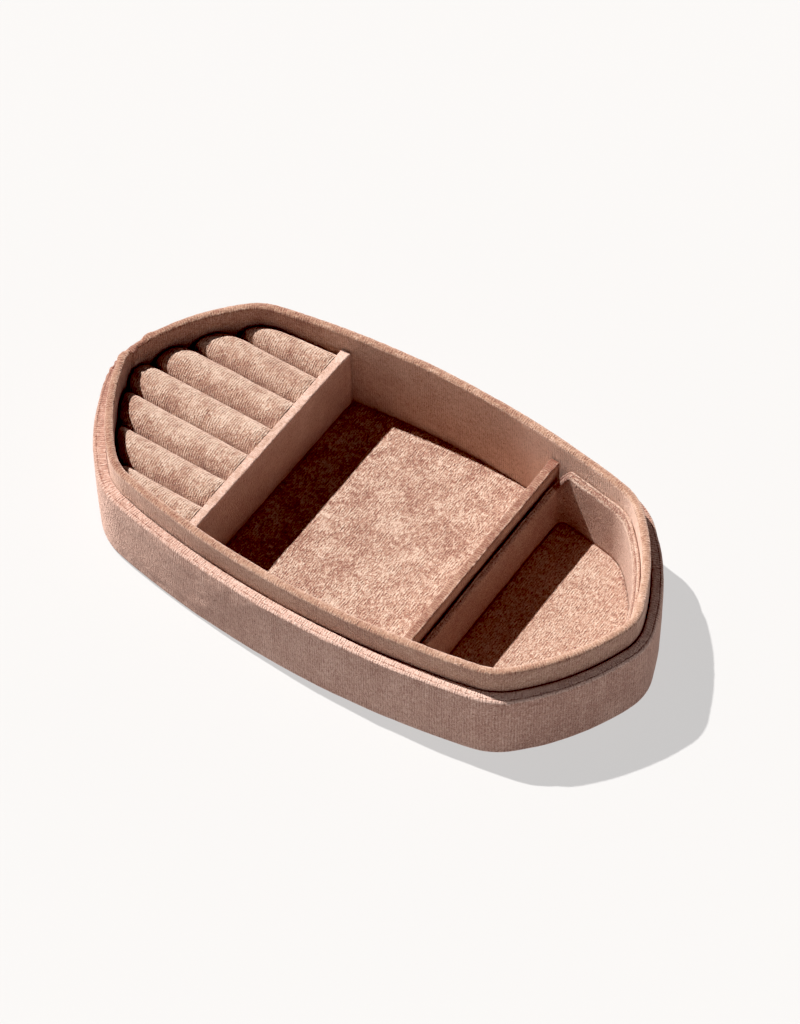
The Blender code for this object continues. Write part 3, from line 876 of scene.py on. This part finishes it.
def tray_loop(step):
    """Points, normals and lengths round the tray, anticlockwise from the right point.

    The last value is the y of the centre of its far left corner."""
    offset = -NECK_WALL - TRAY_CLEAR
    p, n = quarter(step)
    p = p + n * offset
    centre_y = LONG_C[1] + math.sqrt((LONG_R + offset - TRAY_R) ** 2 - TRAY_CENTRE_X ** 2)
    angle = math.atan2(centre_y - LONG_C[1], TRAY_CENTRE_X)
    edge_x = LONG_C[0] + (LONG_R + offset) * math.cos(angle)
    keep = p[:, 0] > edge_x + 0.2
    points, normals = list(p[keep]), list(n[keep])
    for a in np.linspace(angle, math.pi, 12):
        normal = np.array((math.cos(a), math.sin(a)))
        points.append(np.array((TRAY_CENTRE_X, centre_y)) + TRAY_R * normal)
        normals.append(normal)
    for y in [*np.arange(centre_y - step, 0.0, -step), 0.0]:
        points.append(np.array((TRAY_LEFT, y)))
        normals.append(np.array((-1.0, 0.0)))
    return *with_near_side(np.array(points), np.array(normals)), centre_y


tray_p, tray_n, tray_s, tray_corner = tray_loop(0.75)
# the rim holds a narrow outer ridge, a fold painted dark as shade, and an inner slope
T, FOLD = TRAY_TOP, -1.13
tray_outer = np.vstack([
    resample([(0.0, TRAY_Z), (0.0, T - 4.0)], 6.0),
    resample([(0.0, T - 3.5), (0.0, T - 1.9)], 0.7),
    [(-0.1, T - 1.45), (-0.3, T - 0.95), (-0.42, T - 0.5), (-0.55, T - 0.15)],
    [(-0.72, T), (-0.92, T - 0.1), (-1.06, T - 0.4), (FOLD, T - 0.8)],
    [(-1.22, T - 0.62), (-1.45, T - 0.72), (-1.7, T - 1.0), (-1.95, T - 1.35)],
    [(-2.15, T - 1.72), (-2.27, T - 2.05)],
    resample([(-TRAY_WALL, T - 2.5), (-TRAY_WALL, TRAY_Z)], 1.2),
])
tray_inner = np.array([
    (-0.4, TRAY_Z), (-0.4, T - 6.0), (-0.45, T - 1.7), (-0.9, T - 1.7),
    (-1.4, T - 1.9), (-TRAY_WALL + 0.45, T - 2.7), (-TRAY_WALL + 0.45, 15.0),
    (-TRAY_WALL + 0.45, TRAY_Z),
])


def tray_shape(s, x, y, offset, z):
    """The tray cloth: low beside the divider, rising round both corners to its full height."""
    p = np.stack([x, y, z], -1)
    past_corner = np.maximum(np.abs(y) - tray_corner, 0.0)
    round_corner = np.arctan2(past_corner, np.maximum(TRAY_CENTRE_X - x, 1e-6)) / (math.pi / 2)
    low = 1 - smooth(np.where(x < TRAY_CENTRE_X, round_corner, 1.0))
    share = np.clip((z - TRAY_Z) / (TRAY_TOP - TRAY_Z), 0, 1)
    turning = np.where(x < TRAY_CENTRE_X, round_corner * (1 - round_corner) * 4, 0.0)
    dz = -(low * (TRAY_TOP - TRAY_LOW_TOP) + 1.1 * turning) * share
    rim = smooth((z - TRAY_TOP + 2.5) / 2.0)
    d = rim * (0.10 * noise(p, 6.0, 91) + 0.05 * noise(p, 1.1, 92)) + 0.06 * noise(p, 9.0, 93)
    d = np.where(offset > -0.8, np.minimum(d, 0.12), d)
    # towards the right point the rim fills its gap beside the neck
    high = smooth((z - TRAY_TOP + 6.0) / 3.0)
    d += 0.45 * smooth((x - 56.0) / 14.0) * high * smooth((offset + 0.75) / 0.4)
    dz = dz + rim * (0.14 * noise(p, 8.0, 94) + 0.07 * noise(p, 1.2, 95))
    fold = falloff(offset - FOLD, 0.14) * smooth((z - TRAY_TOP + 1.4) / 0.6)
    ridge = smooth((z - TRAY_TOP + 1.0) / 0.5) * (offset > FOLD)
    strip = smooth((FOLD - 0.1 - offset) / 0.15) * smooth((offset + 2.15) / 0.2)
    lip = falloff(offset + 2.22, 0.12) * smooth((z - TRAY_TOP + 2.6) / 0.4)
    # painted light and shade on the rim: a lighter ridge top, shade in the fold and on the inner
    # slope, and a pale highlight along the inner lip
    nap_and_painted_light = ridge * 0.22 - fold * (0.35 + 0.5 * smooth((noise(p, 2.4, 96) + 0.2) / 0.4))
    nap_and_painted_light += 0.7 * lip * smooth(noise(p, 1.6, 98) + 0.8) - 0.12 * strip
    # painted light on the low rim beside the divider, which lies in shade, and painted shade
    # where the rim rises round the far corner
    nap_and_painted_light = nap_and_painted_light * (1 - low) + (0.12 * low - 0.75 * turning) * high
    nap_and_painted_light += 0.08 * noise(p, 12.0, 97) - 0.12 * (1 - rim)
    return d, dz, nap_and_painted_light


tray_cover = wrapped_wall(
    "tray_cover", (tray_p, tray_n, tray_s), tray_outer, tray_inner, tray_shape, TRAY_SIDES,
    "tray", ["tray_wall_velvet"],
)
tray_inside_left = TRAY_LEFT + TRAY_WALL + 0.1


def tray_edge(x):
    """Half width of the tray's floor, with rounded left corners."""
    radius = 1.3
    from_corner = np.clip(radius - (x - tray_inside_left), 0, radius)
    corner = radius - np.sqrt(np.clip(radius ** 2 - from_corner ** 2, 0, None))
    return np.maximum(half_width(TRAY_INSIDE, x) - corner, 0.05)


tray_right = float(half_length(TRAY_INSIDE, 0.0))
cloth_floor(
    "tray_floor_cover", tray_edge, top_of("tray_floor_velvet"), tray_inside_left,
    tray_right - 0.05, 61, "tray", ["tray_floor_velvet"], TRAY_PILE,
    nap_and_painted_light=0.05, thickness=0.42,
)

# --- Cloth under the box ---
p, n, _ = outline(3.0)
SOLE_EDGE = 3.4
rings = [
    (-60.0, 0.0), (-30.0, 0.0), (-12.0, 0.0), (3.0, 0.0), (SOLE_EDGE, 0.08), (3.5, 0.2),
    (SOLE_EDGE, 0.34), (3.0, 0.4), (-12.0, 0.4),
]
loops = []
for off, z in rings:
    # well inside the edge the plan is scaled, since an offset that deep would cross itself
    q = p * (1 + off / HALF_LENGTH) if off < -13 else p + n * off
    loops.append(np.column_stack([q, np.full(len(q), z)]))
pts = np.vstack(loops)
sole = build(
    "base_cloth", pts, grid_faces(len(rings), len(p), False, True), pts[:, :2], FELT,
    ngons=[range(len(p))[::-1], range(len(pts) - len(p), len(pts))],
)
place(sole, "box", ["base_lining"], "base_lining_cloth")

# ---------------------------------------------------------------------------
# Floor and light
# ---------------------------------------------------------------------------
bpy.ops.mesh.primitive_plane_add(size=8.0, location=(0, 0, -0.0002))
ground = bpy.context.object
ground.name = "pale_floor"
g = Graph("pale_floor")
g.set_input("Base Color", (0.205, 0.205, 0.207, 1.0))
g.set_input("Roughness", 1.0)
g.set_input("Specular IOR Level", 0.0)
g.set_input("Emission Color", (1.0, 0.985, 0.975, 1.0))
g.set_input("Emission Strength", 0.57)
ground.data.materials.append(g.mat)


def sunlight(name, strength, degrees_wide, colour, shines_towards):
    sun = bpy.data.lights.new(name, "SUN")
    sun.energy = strength
    sun.angle = math.radians(degrees_wide)
    sun.color = colour
    lamp = bpy.data.objects.new(name, sun)
    bpy.context.scene.collection.objects.link(lamp)
    lamp.rotation_mode = "QUATERNION"
    lamp.rotation_quaternion = Vector(shines_towards).to_track_quat("-Z", "Y")


sunlight("key", 7.0, 0.8, (1.0, 0.97, 0.93), (0.715, -0.05, -1.0))
sunlight("fill", 0.22, 20.0, (1.0, 0.97, 0.94), (-1.0, 0.15, -0.28))

# The sky is bright near the horizon and dark above
world = bpy.data.worlds.new("studio")
world.use_nodes = True
bpy.context.scene.world = world
tree = world.node_tree
coords = tree.nodes.new("ShaderNodeTexCoord")
parts = tree.nodes.new("ShaderNodeSeparateXYZ")
tree.links.new(coords.outputs["Generated"], parts.inputs[0])
band = tree.nodes.new("ShaderNodeMapRange")
band.interpolation_type = "SMOOTHSTEP"
for socket, level_value in (
    ("From Min", 0.12), ("From Max", 0.50), ("To Min", 1.28), ("To Max", 0.018)
):
    band.inputs[socket].default_value = level_value
tree.links.new(parts.outputs["Z"], band.inputs["Value"])
# the horizon is dimmer on the side away from the key light
side = tree.nodes.new("ShaderNodeMath")
side.operation = "MULTIPLY_ADD"
side.inputs[1].default_value = -0.58
side.inputs[2].default_value = 0.85
tree.links.new(parts.outputs["X"], side.inputs[0])
sky = tree.nodes.new("ShaderNodeMath")
sky.operation = "MULTIPLY"
tree.links.new(band.outputs["Result"], sky.inputs[0])
tree.links.new(side.outputs[0], sky.inputs[1])
shade = tree.nodes["Background"]
shade.inputs["Color"].default_value = (1.0, 0.985, 0.97, 1.0)
tree.links.new(sky.outputs[0], shade.inputs["Strength"])
